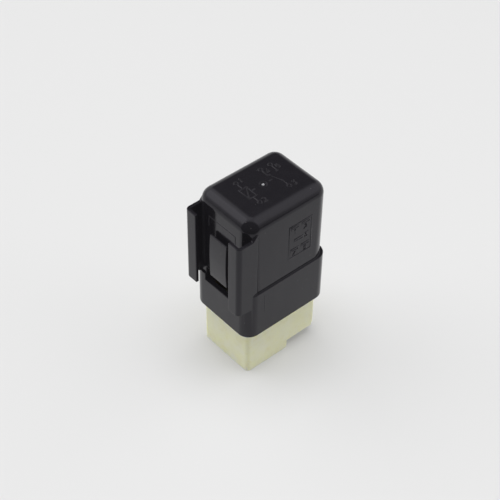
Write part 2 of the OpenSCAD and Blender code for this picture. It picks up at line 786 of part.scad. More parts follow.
// Each lead runs out from the body and turns in to its post
module resistor_leads() {
    reach = y_post + post_w / 2;
    color("#c9cbcd") for (side = [-1, 1]) mirror([0, side > 0 ? 0 : 1, 0])
        translate([x_resistor, 0, z_resistor]) {
            translate([0, resistor_l / 2, 0]) rotate([-90, 0, 0])
                cylinder(h = reach - resistor_l / 2, r = lead_r);
            translate([0, reach, 0]) sphere(lead_r);
            translate([0, reach, 0]) rotate([0, 90, 0]) cylinder(h = x_coil_post - x_resistor, r = lead_r);
        }
}

cover();
connector_base();
yoke();
iron_core();
bobbin();
coil_winding();
armature();
contact_blade();
blade_rivets();
moving_contact();
return_spring();
normally_open_contact();
normally_closed_contact();
normally_open_terminal();
normally_closed_terminal();
common_terminal();
coil_terminal_a();
coil_terminal_b();
coil_tail_a();
coil_tail_b();
flexible_braid();
resistor_body();
resistor_leads();
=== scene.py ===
"""Changeover relay for a vehicle harness, with its real finishes, in a plain pale studio.

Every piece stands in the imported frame: metres, +Z up through the cover, -X towards the
bracket slot, and the origin at the centre of the connector's mouth.
"""

import logging
import math
from contextlib import contextmanager
from dataclasses import dataclass, field
from enum import Enum
from typing import Callable, ClassVar, Iterable, Iterator, Sequence

import bmesh
import bpy
from mathutils import Matrix, Vector
from mathutils.bvhtree import BVHTree

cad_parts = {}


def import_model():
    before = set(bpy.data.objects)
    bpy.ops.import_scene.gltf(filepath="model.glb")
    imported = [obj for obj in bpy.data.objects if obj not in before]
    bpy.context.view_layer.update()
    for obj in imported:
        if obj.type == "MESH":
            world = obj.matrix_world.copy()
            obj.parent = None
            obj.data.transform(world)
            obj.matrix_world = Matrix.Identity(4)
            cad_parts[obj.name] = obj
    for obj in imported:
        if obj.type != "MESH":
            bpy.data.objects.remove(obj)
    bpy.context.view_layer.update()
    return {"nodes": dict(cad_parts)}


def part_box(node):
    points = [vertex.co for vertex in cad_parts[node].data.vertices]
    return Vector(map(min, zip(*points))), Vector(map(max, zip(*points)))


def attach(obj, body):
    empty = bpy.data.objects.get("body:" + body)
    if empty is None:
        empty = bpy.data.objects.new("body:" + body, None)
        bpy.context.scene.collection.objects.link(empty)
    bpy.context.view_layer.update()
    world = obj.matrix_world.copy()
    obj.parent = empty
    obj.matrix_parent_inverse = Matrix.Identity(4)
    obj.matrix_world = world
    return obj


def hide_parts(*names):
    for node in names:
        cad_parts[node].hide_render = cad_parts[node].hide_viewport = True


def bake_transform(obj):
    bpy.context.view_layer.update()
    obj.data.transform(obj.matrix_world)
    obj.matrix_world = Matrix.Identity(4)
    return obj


log = logging.getLogger("relay")

MM = 0.001
FRAME_BODY = "frame"
ARMATURE_BODY = "armature_set"
FULL_TURN = 2 * math.pi
TURN_STEPS = 24
WELD = 0.0005 * MM
FLAT_ANGLE = math.radians(0.4)
BEVEL_ANGLE = math.radians(40.0)
MITRE_LIMIT = 0.4
X_AXIS = Vector((1, 0, 0))
Y_AXIS = Vector((0, 1, 0))
Z_AXIS = Vector((0, 0, 1))

Colour = tuple[float, float, float]
Place = tuple[float, float, float]
Flat = tuple[float, float]
Socket = bpy.types.NodeSocket
Reshape = Callable[[bmesh.types.BMesh], None]


# ---- Materials ----


class NodeLayout:
    """A short way to lay out shader nodes in a tree."""

    def __init__(self, tree: bpy.types.NodeTree) -> None:
        """Empties the node tree that is to be filled."""
        self.tree = tree
        self.tree.nodes.clear()

    def add(self, kind: str, inputs: dict | None = None, **settings: object) -> bpy.types.Node:
        """Adds a node, sets its options and fills its sockets.

        Args:
            kind: the node's type name without its "ShaderNode" prefix.
            inputs: value or source socket for each input, by name or number.
            **settings: the node's own options.

        Returns:
            The new node.
        """
        node = self.tree.nodes.new("ShaderNode" + kind)
        for key, value in settings.items():
            setattr(node, key, value)
        for key, value in (inputs or {}).items():
            if isinstance(value, Socket):
                self.tree.links.new(value, node.inputs[key])
            else:
                node.inputs[key].default_value = value
        return node

    def span(
        self, value: Socket, low: float, high: float,
        to_low: float = 0.0, to_high: float = 1.0, way: str = "LINEAR",
    ) -> Socket:
        """Maps a value's range onto another one, and stops at its ends."""
        inputs = {"Value": value, 1: low, 2: high, 3: to_low, 4: to_high}
        return self.add("MapRange", inputs, interpolation_type=way).outputs["Result"]

    def maths(self, operation: str, first: Socket | float, second: Socket | float = 0.0) -> Socket:
        """One arithmetic step on two values."""
        return self.add("Math", {0: first, 1: second}, operation=operation).outputs["Value"]


class NodeSheet(NodeLayout):
    """The nodes of one material."""

    def __init__(self, name: str) -> None:
        """Starts an empty material.

        Args:
            name: the material's name.
        """
        material = bpy.data.materials.new(name)
        material.use_nodes = True
        super().__init__(material.node_tree)

    def place(self) -> Socket:
        """Object coordinates in millimetres."""
        coord = self.add("TexCoord").outputs["Object"]
        return self.add("VectorMath", {0: coord, "Scale": 1 / MM}, operation="SCALE").outputs["Vector"]

    def stretched(self, place: Socket, factors: Place) -> Socket:
        """Scales coordinates along each axis, for grain that runs one way."""
        return self.add("VectorMath", {0: place, 1: factors}, operation="MULTIPLY").outputs["Vector"]

    def noise(self, place: Socket, scale: float, detail: float = 3.0, rough: float = 0.5) -> Socket:
        """Cloudy noise from 0 to 1, with so many features a millimetre, its octaves and their strength."""
        inputs = {"Vector": place, "Scale": scale, "Detail": detail, "Roughness": rough}
        return self.add("TexNoise", inputs).outputs["Fac"]

    def blend(self, factor: Socket | float, first: Socket | Colour, second: Socket | Colour) -> Socket:
        """Mixes two colours by a factor."""
        sides = [(*c, 1.0) if isinstance(c, tuple) else c for c in (first, second)]
        return self.add("Mix", {0: factor, 6: sides[0], 7: sides[1]}, data_type="RGBA").outputs[2]

    def bump(self, height: Socket, depth: float, under: Socket | None = None) -> Socket:
        """Bends the normals by a height.

        Args:
            height: the height, from 0 to 1.
            depth: how deep that height is, in millimetres.
            under: normals that the bump is laid over.

        Returns:
            The normals.
        """
        inputs: dict = {"Height": height, "Distance": depth * MM, "Strength": 1.0}
        if under is not None:
            inputs["Normal"] = under
        return self.add("Bump", inputs).outputs["Normal"]

    def finish(self, **sockets: object) -> None:
        """Ends the sheet in one Principled shader.

        Args:
            **sockets: value or source socket for each input, with _ for a space.
        """
        named = {key.replace("_", " "): value for key, value in sockets.items()}
        shader = self.add("BsdfPrincipled", named)
        self.add("OutputMaterial", {"Surface": shader.outputs["BSDF"]})


@dataclass(frozen=True)
class Finish:
    """What every finish has: its record slot, a variant's name and a method that makes its material."""

    slot: str
    variant: str = ""

    def material(self) -> bpy.types.Material:
        """Makes the finish's material, unless it is there already.

        Returns:
            The material.
        """
        name = self.slot + self.variant + "_finish"
        if name not in bpy.data.materials:
            self.lay_out(NodeSheet(name))
        return bpy.data.materials[name]

    def lay_out(self, sheet: NodeSheet) -> None:
        """Lays out the nodes of one finish."""
        raise NotImplementedError


@dataclass(frozen=True)
class GlossBlack(Finish):
    """Semi-gloss black moulding: faint flow ripples, orange peel, handling marks, dust and a faint painted
    glow.
    """

    dark: Colour = (0.0050, 0.0044, 0.0062)
    light: Colour = (0.0084, 0.0078, 0.0096)
    dust: Colour = (0.16, 0.155, 0.145)
    polish: float = 0.09
    smudged: float = 0.18
    ior: float = 1.46
    sheen_level: float = 0.33
    sheen: Colour = (0.93, 0.91, 1.0)
    # Painted glow: a faint bluish emission that lightens the deep shade in the slots and recesses.
    painted_glow: Colour = (0.92, 0.88, 1.0)
    painted_glow_level: float = 0.0060

    def lay_out(self, sheet: NodeSheet) -> None:
        """Builds the black plastic.

        Args:
            sheet: the empty sheet.
        """
        place = sheet.place()
        flow = sheet.noise(sheet.stretched(place, (1.0, 1.0, 0.35)), 0.11, 2.0)
        cloud = sheet.noise(place, 0.35, 4.0, 0.6)
        peel = sheet.noise(place, 2.6, 2.0)
        grain = sheet.noise(place, 14.0, 2.0)
        scratch = sheet.noise(sheet.stretched(place, (6.0, 0.5, 0.7)), 1.6, 5.0, 0.75)
        marks = sheet.span(scratch, 0.63, 0.72)
        specks = sheet.add("TexVoronoi", {"Vector": place, "Scale": 0.55, "Randomness": 1.0})
        speck = sheet.span(specks.outputs["Distance"], 0.035, 0.06, 1.0, 0.0)
        sparse = sheet.span(sheet.noise(place, 0.23, 1.0), 0.56, 0.62, 0.0, 0.8)
        colour = sheet.blend(cloud, self.dark, self.light)
        colour = sheet.blend(sheet.maths("MULTIPLY", speck, sparse), colour, self.dust)
        rough = sheet.span(cloud, 0.35, 0.75, self.polish, self.smudged)
        rough = sheet.maths("ADD", rough, sheet.maths("MULTIPLY", marks, 0.12))
        rough = sheet.maths("ADD", rough, sheet.maths("MULTIPLY", speck, 0.25))
        normal = sheet.bump(flow, 0.10)
        normal = sheet.bump(peel, 0.004, normal)
        normal = sheet.bump(grain, 0.0012, normal)
        normal = sheet.bump(marks, 0.0015, normal)
        sheet.finish(
            Base_Color=colour,
            Roughness=rough,
            Normal=normal,
            IOR=self.ior,
            Specular_IOR_Level=self.sheen_level,
            Specular_Tint=(*self.sheen, 1.0),
            # The painted glow: emission that lifts the plastic's shade; it is not light the plastic gives
            # off.
            Emission_Color=(*self.painted_glow, 1.0),
            Emission_Strength=self.painted_glow_level,
        )


@dataclass(frozen=True)
class NaturalNylon(Finish):
    """Unpigmented nylon: pale yellow-green, cloudy, and lit from inside."""

    body: Colour = (0.90, 0.895, 0.60)
    milky: Colour = (0.92, 0.915, 0.69)
    tint: Colour = (0.85, 0.82, 0.50)
    rough_low: float = 0.36
    rough_high: float = 0.52
    scatter: float = 0.9
    scatter_tint: Colour = (1.0, 0.95, 0.55)
    scatter_depth: float = 1.6
    ior: float = 1.5

    def lay_out(self, sheet: NodeSheet) -> None:
        """Builds the nylon.

        Args:
            sheet: the empty sheet.
        """
        place = sheet.place()
        cloud = sheet.noise(place, 0.16, 4.0, 0.6)
        patch = sheet.noise(place, 0.55, 3.0)
        fleck = sheet.span(sheet.noise(place, 1.5, 2.0), 0.70, 0.78, 0.0, 0.35)
        colour = sheet.blend(sheet.span(cloud, 0.3, 0.7), self.body, self.milky)
        colour = sheet.blend(sheet.span(patch, 0.5, 0.8, 0.0, 0.6), colour, self.tint)
        colour = sheet.blend(fleck, colour, self.tint)
        rough = sheet.span(patch, 0.3, 0.7, self.rough_low, self.rough_high)
        normal = sheet.bump(sheet.noise(place, 0.2, 2.0), 0.08)
        normal = sheet.bump(sheet.noise(place, 5.0, 3.0), 0.004, normal)
        sheet.finish(
            Base_Color=colour,
            Roughness=rough,
            Normal=normal,
            IOR=self.ior,
            Subsurface_Weight=self.scatter,
            Subsurface_Radius=self.scatter_tint,
            Subsurface_Scale=self.scatter_depth * MM,
        )


class Grain(Enum):
    """Which way a metal's drawing or rolling marks run, as coordinate factors."""

    ALONG_Z = (5.0, 5.0, 0.25)
    ALONG_X = (0.25, 5.0, 5.0)
    EVEN = (1.0, 1.0, 1.0)


@dataclass(frozen=True)
class Metal(Finish):
    """A metal with worked grain, uneven tone and faint tarnish."""

    bright: Colour = (0.62, 0.63, 0.64)
    dull: Colour = (0.48, 0.48, 0.48)
    rough_low: float = 0.22
    rough_high: float = 0.42
    grain: Grain = Grain.ALONG_Z
    grain_depth: float = 0.004

    def lay_out(self, sheet: NodeSheet) -> None:
        """Builds the metal.

        Args:
            sheet: the empty sheet.
        """
        place = sheet.place()
        tone = sheet.noise(place, 0.45, 5.0, 0.6)
        lines = sheet.noise(sheet.stretched(place, self.grain.value), 2.2, 4.0, 0.7)
        colour = sheet.blend(sheet.span(tone, 0.35, 0.75), self.bright, self.dull)
        rough = sheet.span(lines, 0.3, 0.7, self.rough_low, self.rough_high)
        normal = sheet.bump(lines, self.grain_depth)
        sheet.finish(Base_Color=colour, Roughness=rough, Normal=normal, Metallic=1.0)


@dataclass(frozen=True)
class PaleMoulding(Finish):
    """An opaque pale moulding or a dipped coat, with a fine skin."""

    body: Colour = (0.80, 0.78, 0.69)
    shade: Colour = (0.72, 0.69, 0.58)
    rough_low: float = 0.34
    rough_high: float = 0.5
    skin_depth: float = 0.004

    def coloured(self, sheet: NodeSheet, colour: Socket) -> Socket:
        """A plain moulding keeps its own colour."""
        return colour

    def lay_out(self, sheet: NodeSheet) -> None:
        """Builds the moulding.

        Args:
            sheet: the empty sheet.
        """
        place = sheet.place()
        cloud = sheet.noise(place, 0.5, 4.0)
        colour = sheet.blend(sheet.span(cloud, 0.35, 0.7), self.body, self.shade)
        colour = self.coloured(sheet, colour)
        rough = sheet.span(cloud, 0.3, 0.7, self.rough_low, self.rough_high)
        normal = sheet.bump(sheet.noise(place, 4.0, 3.0), self.skin_depth)
        sheet.finish(Base_Color=colour, Roughness=rough, Normal=normal, IOR=1.5)


@dataclass(frozen=True)
class BandedCoat(PaleMoulding):
    """A resistor's dipped coat with colour bands across its length."""

    pitch: float = 1.0
    half_width: float = 0.26
    soft_rim: float = 0.03
    bands: tuple[Colour, ...] = (
        (0.30, 0.12, 0.03),
        (0.02, 0.02, 0.02),
        (0.45, 0.02, 0.02),
        (0.60, 0.40, 0.10),
    )

    def coloured(self, sheet: NodeSheet, colour: Socket) -> Socket:
        """Lays the bands over the coat's colour.

        Args:
            sheet: the sheet to add to.
            colour: the coat's colour.

        Returns:
            The banded colour.
        """
        along = sheet.add("SeparateXYZ", {0: sheet.place()}).outputs["Y"]
        first = -self.pitch * (len(self.bands) - 1) / 2
        for index, band in enumerate(self.bands):
            away = sheet.maths("ABSOLUTE", sheet.maths("SUBTRACT", along, first + index * self.pitch))
            inside = sheet.span(away, self.half_width - self.soft_rim, self.half_width, 1.0, 0.0)
            colour = sheet.blend(inside, colour, band)
        return colour


@dataclass(frozen=True)
class StudioPaper(Finish):
    """The plain pale table, lit a little from below, with painted shade that darkens it in front of the
    relay.
    """

    body: Colour = (0.49, 0.49, 0.49)
    glow: float = 0.385
    # Painted shade: the dark grey that the table turns in front of the relay, on the camera's side.
    painted_shade_colour: Colour = (0.06, 0.06, 0.06)
    front: Place = (-0.665, -0.747, 0.0)
    fades_from: float = 78.0
    fades_to: float = 125.0

    def lay_out(self, sheet: NodeSheet) -> None:
        """Builds the paper.

        Args:
            sheet: the empty sheet.
        """
        place = sheet.place()
        tone = sheet.noise(place, 0.004, 2.0)
        soft = tuple(0.985 * c for c in self.body)
        colour = sheet.blend(tone, soft, self.body)
        # Painted shade: the table darkens smoothly from fades_from to fades_to millimetres in front of the
        # relay.
        ahead = sheet.add("VectorMath", {0: place, 1: self.front}, operation="DOT_PRODUCT").outputs["Value"]
        painted_shade_mask = sheet.span(ahead, self.fades_from, self.fades_to, way="SMOOTHSTEP")
        colour = sheet.blend(painted_shade_mask, colour, self.painted_shade_colour)
        sheet.finish(
            Base_Color=colour,
            Roughness=0.75,
            Specular_IOR_Level=0.2,
            Emission_Color=colour,
            Emission_Strength=self.glow,
        )


class Finishes:
    """Every finish on the relay, under the record's slot names."""

    cover = GlossBlack("cover_plastic")
    torn = GlossBlack(
        "cover_plastic", "_torn", dark=(0.22, 0.22, 0.23), light=(0.34, 0.34, 0.35), polish=0.3, smudged=0.45
    )
    base = NaturalNylon("base_nylon")
    steel = Metal("plated_steel", bright=(0.66, 0.68, 0.69), dull=(0.55, 0.56, 0.55))
    core = Metal("core_iron", bright=(0.50, 0.51, 0.52), dull=(0.38, 0.38, 0.38))
    bobbin = PaleMoulding("bobbin_plastic")
    copper = Metal(
        "copper_wire", bright=(0.62, 0.27, 0.11), dull=(0.47, 0.18, 0.07), rough_low=0.2, rough_high=0.32
    )
    bronze = Metal("spring_bronze", bright=(0.80, 0.53, 0.30), dull=(0.66, 0.42, 0.24), grain=Grain.ALONG_X)
    rivet = Metal("rivet_steel", bright=(0.64, 0.65, 0.67), dull=(0.52, 0.52, 0.53), grain=Grain.EVEN)
    silver = Metal("contact_silver", bright=(0.86, 0.85, 0.83), dull=(0.70, 0.69, 0.66), grain=Grain.EVEN)
    spring = Metal("spring_steel", bright=(0.47, 0.48, 0.50), dull=(0.36, 0.37, 0.39))
    terminal = Metal("terminal_brass", bright=(0.79, 0.74, 0.60), dull=(0.68, 0.60, 0.42))
    braid = Metal("braid_copper", bright=(0.74, 0.40, 0.22), dull=(0.56, 0.27, 0.14))
    coat = BandedCoat(
        "resistor_coat", body=(0.36, 0.50, 0.60), shade=(0.29, 0.42, 0.52), rough_low=0.2, rough_high=0.3
    )
    tinned = Metal("tinned_wire", bright=(0.72, 0.73, 0.74), dull=(0.60, 0.60, 0.60))
    paper = StudioPaper("studio_paper")


# ---- Mesh helpers ----


def new_object(name: str, data: bpy.types.ID) -> bpy.types.Object:
    """Puts a mesh, a lamp or a camera into the scene.

    Args:
        name: the object's name.
        data: what it holds.

    Returns:
        The new object.
    """
    piece = bpy.data.objects.new(name, data)
    bpy.context.scene.collection.objects.link(piece)
    return piece


@contextmanager
def reworked(mesh: bpy.types.Mesh) -> Iterator[bmesh.types.BMesh]:
    """Opens a mesh for changes and writes them back at the end.

    Args:
        mesh: the mesh.

    Yields:
        Its form for changes.
    """
    work = bmesh.new()
    work.from_mesh(mesh)
    yield work
    work.to_mesh(mesh)
    work.free()


def smooth_by_angle(mesh: bpy.types.Mesh, degrees: float = 32.0) -> None:
    """Shades a mesh smooth, apart from its sharp edges.

    Args:
        mesh: the mesh.
        degrees: the angle from which an edge is sharp.
    """
    with reworked(mesh) as work:
        for face in work.faces:
            face.smooth = True
        for edge in work.edges:
            edge.smooth = len(edge.link_faces) == 2 and edge.calc_face_angle(0.0) < math.radians(degrees)


def mesh_from(name: str, points: Sequence, faces: Sequence, degrees: float) -> bpy.types.Mesh:
    """Makes a mesh of points and faces, with outward normals and smooth shading.

    Args:
        name: the mesh's name.
        points: its corners, in metres.
        faces: the corner numbers of each face.
        degrees: the angle from which an edge is sharp.

    Returns:
        The mesh.
    """
    mesh = bpy.data.meshes.new(name)
    mesh.from_pydata([tuple(p) for p in points], [], [tuple(f) for f in faces])
    with reworked(mesh) as work:
        bmesh.ops.recalc_face_normals(work, faces=work.faces)
    smooth_by_angle(mesh, degrees)
    return mesh


def faces_along(rings: Sequence[Sequence[int]], closed: bool = False) -> list[tuple[int, ...]]:
    """The faces along a row of rings, each of which may also shrink to one corner.

    Args:
        rings: the corner numbers of each ring.
        closed: whether the last ring joins the first.

    Returns:
        The faces.
    """
    faces = []
    for low, high in zip(rings, [*rings[1:], *rings[: int(closed)]]):
        quads = zip(low, [*low[1:], low[0]], [*high[1:], high[0]], high)
        faces += [tuple(dict.fromkeys(corners)) for corners in quads]
    return faces


def around(reach: float, turn: float, height: float = 0.0) -> Vector:
    """A point at a reach, a turn and a height round the Z axis."""
    return Vector((reach * math.cos(turn), reach * math.sin(turn), height))


def flat_middle(node: str) -> Vector:
    """The middle of a node's box, at the height of the origin."""
    low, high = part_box(node)
    return Vector(((low.x + high.x) / 2, (low.y + high.y) / 2, 0))


def settle(piece: bpy.types.Object) -> None:
    """Turns a piece's modifiers into plain mesh.

    Args:
        piece: the piece.
    """
    graph = bpy.context.evaluated_depsgraph_get()
    mesh = bpy.data.meshes.new_from_object(piece.evaluated_get(graph))
    piece.modifiers.clear()
    piece.data = mesh


def keep_close(piece: bpy.types.Object, surface: BVHTree, reach: float) -> None:
    """Puts points that a rounding has thrown off the solid's surface back on it.

    Args:
        piece: the rounded piece.
        surface: the solid before its rounding.
        reach: the farthest that a point may lie from the surface, in millimetres.
    """
    for point in piece.data.vertices:
        spot, _normal, _face, distance = surface.find_nearest(point.co)
        if distance > reach * MM:
            point.co = spot


def softened(
    node: bpy.types.Object, name: str, width: float, segments: int, shape: Reshape | None
) -> bpy.types.Object:
    """Copies a CAD node's solid and rounds its sharp edges, as a mould or a press leaves them.

    Args:
        node: the CAD node's object.
        name: the new piece's name.
        width: the radius at the edges, in millimetres.
        segments: steps across each rounded edge.
        shape: a change to make to the solid before its edges are rounded.

    Returns:
        The new piece.
    """
    mesh = node.data.copy()
    mesh.materials.clear()
    with reworked(mesh) as work:
        bmesh.ops.remove_doubles(work, verts=work.verts, dist=WELD)
        everything = {"verts": work.verts, "edges": work.edges}
        bmesh.ops.dissolve_limit(work, angle_limit=FLAT_ANGLE, delimit={"NORMAL"}, **everything)
        if shape:
            shape(work)
        surface = BVHTree.FromBMesh(work)
    piece = new_object(name, mesh)
    bevel = piece.modifiers.new("edges", "BEVEL")
    bevel.width = width * MM
    bevel.segments = segments
    bevel.limit_method = "ANGLE"
    bevel.angle_limit = BEVEL_ANGLE
    bevel.use_clamp_overlap = False
    settle(piece)
    keep_close(piece, surface, 0.5 * width)
    smooth_by_angle(piece.data)
    flats = piece.modifiers.new("flats", "WEIGHTED_NORMAL")
    flats.keep_sharp = True
    settle(piece)
    return piece


def swept(name: str, path: Sequence[Vector], radius: float, sides: int) -> bpy.types.Mesh:
    """Sweeps a round wire along a path, with rings that don't twist.

    Args:
        name: the mesh's name.
        path: its points, in metres.
        radius: the wire's radius, in metres.
        sides: the sides of its section.

    Returns:
        The mesh.
    """
    last = len(path) - 1
    heading = (path[1] - path[0]).normalized()
    across = heading.cross(Y_AXIS if abs(heading.x) > 0.9 else X_AXIS)
    points: list[Vector] = []
    for index, point in enumerate(path):
        heading = (path[min(index + 1, last)] - path[max(index - 1, 0)]).normalized()
        across = (across - heading * across.dot(heading)).normalized()
        beside = heading.cross(across)
        for step in range(sides):
            spoke = around(radius, FULL_TURN * step / sides)
            points.append(point + spoke.x * across + spoke.y * beside)
    rings = [range(sides * index, sides * (index + 1)) for index in range(len(path))]
    return mesh_from(name, points, [rings[0], rings[-1], *faces_along(rings)], 50.0)


def turned(name: str, profile: Sequence[Flat], sides: int, closed: bool = False) -> bpy.types.Mesh:
    """Turns a profile about the Z axis.

    Args:
        name: the mesh's name.
        profile: its points as radius and height, in millimetres; an open one starts and ends on the axis.
        sides: steps round the axis.
        closed: whether the profile is a ring that stays off the axis.

    Returns:
        The mesh.
    """
    points: list[Vector] = []
    rings: list[list[int]] = []
    for radius, height in profile:
        start = len(points)
        steps = 1 if radius == 0 else sides
        points += [around(radius, FULL_TURN * step / sides, height) * MM for step in range(steps)]
        rings.append([start + step % steps for step in range(sides)])
    return mesh_from(name, points, faces_along(rings, closed), 40.0)


@dataclass(frozen=True)
class Face:
    """A flat place that raised lines stand on."""

    origin: Vector
    across: Vector
    up: Vector

    def point(self, place: Vector, out: float) -> Vector:
        """The point at a place on the face that stands out by so much, both in millimetres."""
        outward = self.across.cross(self.up)
        return self.origin + MM * (place.x * self.across + place.y * self.up + out * outward)


def ridge(
    face: Face, path: Sequence[Flat], width: float, height: float, closed: bool = False
) -> bpy.types.Mesh:
    """Raises a line of moulded relief along a path, with mitred corners and a rounded back.

    Args:
        face: the flat place that it stands on.
        path: its middle line, in millimetres on the face.
        width: its width at the foot, in millimetres.
        height: how far it stands out, in millimetres.
        closed: whether the path's end meets its start.

    Returns:
        The mesh.
    """
    half = ((0.5, -0.04), (0.37, 0.32 * height), (0.22, 0.78 * height))
    section = [(-share, out) for share, out in half] + [(0.0, height)] + list(reversed(half))
    sides = len(section)
    line = [Vector(p) for p in path]
    last = len(line) - 1
    points: list[Vector] = []
    for index, here in enumerate(line):
        before, after = line[index - 1], line[(index + 1) % len(line)]
        starts, ends = index == 0 and not closed, index == last and not closed
        coming = (after - here if starts else here - before).normalized()
        going = (here - before if ends else after - here).normalized()
        heading = (coming + going).normalized()
        side = Vector((-heading.y, heading.x)) / max(MITRE_LIMIT, heading.dot(going))
        points += [face.point(here + side * share * width, out) for share, out in section]
    rings = [range(sides * index, sides * (index + 1)) for index in range(len(line))]
    caps = [] if closed else [rings[0], rings[-1]]
    return mesh_from("ridge", points, [*faces_along(rings, closed), *caps], 60.0)


def joined(name: str, meshes: Iterable[bpy.types.Mesh]) -> bpy.types.Object:
    """Puts several meshes into one piece.

    Args:
        name: the piece's name.
        meshes: the meshes, which are removed.

    Returns:
        The piece.
    """
    work = bmesh.new()
    for mesh in meshes:
        work.from_mesh(mesh)
        bpy.data.meshes.remove(mesh)
    whole = bpy.data.meshes.new(name)
    work.to_mesh(whole)
    work.free()
    return new_object(name, whole)


# ---- Sub-assemblies ----


@dataclass
class Assembly:
    """What each sub-assembly has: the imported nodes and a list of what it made."""

    nodes: dict[str, bpy.types.Object]
    body: str = FRAME_BODY
    made: list[str] = field(default_factory=list)

    def paint(self, piece: bpy.types.Object, finish: Finish, *stands_for: str) -> None:
        """Gives a piece its finish.

        Args:
            piece: the piece, in its place.
            finish: its finish.
            *stands_for: the CAD nodes that it stands for.
        """
        piece.data.materials.clear()
        piece.data.materials.append(finish.material())
        if stands_for:
            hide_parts(*stands_for)
        self.made.append(piece.name)

    def dress(self, piece: bpy.types.Object, finish: Finish, *stands_for: str) -> None:
        """Gives a piece its finish and lets it ride on this sub-assembly's body."""
        self.paint(piece, finish, *stands_for)
        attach(piece, self.body)

    def soften_node(
        self, node: str, finish: Finish, width: float, segments: int = 2, shape: Reshape | None = None
    ) -> None:
        """Replaces a node by the same solid with rounded edges, in its finish."""
        piece = softened(self.nodes[node], node + "_solid", width, segments, shape)
        self.dress(piece, finish, node)

    def build(self) -> None:
        """Makes the sub-assembly's pieces."""
        raise NotImplementedError

    def report(self) -> None:
        """Logs each piece that this sub-assembly made."""
        for name in self.made:
            log.info("%s: %s", type(self).__name__, name)


@dataclass
class Relief:
    """Plain raised lines, rings and numerals on one flat face of the cover, all in millimetres."""

    face: Face
    width: float
    height: float
    meshes: list[bpy.types.Mesh] = field(default_factory=list)
    strokes: ClassVar[dict[int, tuple[Flat, ...]]] = {
        1: ((0.1, 0.8), (0.32, 1.0), (0.32, 0.0)),
        2: ((0.0, 0.8), (0.15, 1.0), (0.45, 1.0), (0.6, 0.8), (0.55, 0.55), (0.0, 0.0), (0.6, 0.0)),
        3: ((0.0, 1.0), (0.6, 1.0), (0.28, 0.6), (0.5, 0.52), (0.6, 0.25), (0.4, 0.0), (0.0, 0.12)),
        4: ((0.45, 0.0), (0.45, 1.0), (0.0, 0.32), (0.62, 0.32)),
        5: ((0.55, 1.0), (0.08, 1.0), (0.03, 0.55), (0.4, 0.6), (0.6, 0.35), (0.48, 0.05), (0.0, 0.0)),
    }

    def line(self, *path: Flat, closed: bool = False) -> None:
        """Adds a line through some places on the face."""
        self.meshes.append(ridge(self.face, path, self.width, self.height, closed))

    def ring(self, centre: Flat, radius: float, steps: int = 20) -> None:
        """Adds a ring round a place on the face."""
        spokes = (around(radius, FULL_TURN * step / steps) for step in range(steps))
        self.line(*((centre[0] + spoke.x, centre[1] + spoke.y) for spoke in spokes), closed=True)

    def block(self, centre: Flat, wide: float, tall: float) -> None:
        """Adds a rectangle round a place on the face."""
        corners = ((-wide, -tall), (wide, -tall), (wide, tall), (-wide, tall))
        self.line(*((centre[0] + x / 2, centre[1] + y / 2) for x, y in corners), closed=True)

    def numeral(self, digit: int, corner: Flat, tall: float) -> None:
        """Adds a numeral that stands on a lower left corner, so many millimetres tall."""
        self.line(*((corner[0] + tall * x, corner[1] + tall * y) for x, y in self.strokes[digit]))

    def piece(self, name: str) -> bpy.types.Object:
        """Puts the whole relief into one piece."""
        return joined(name, self.meshes)


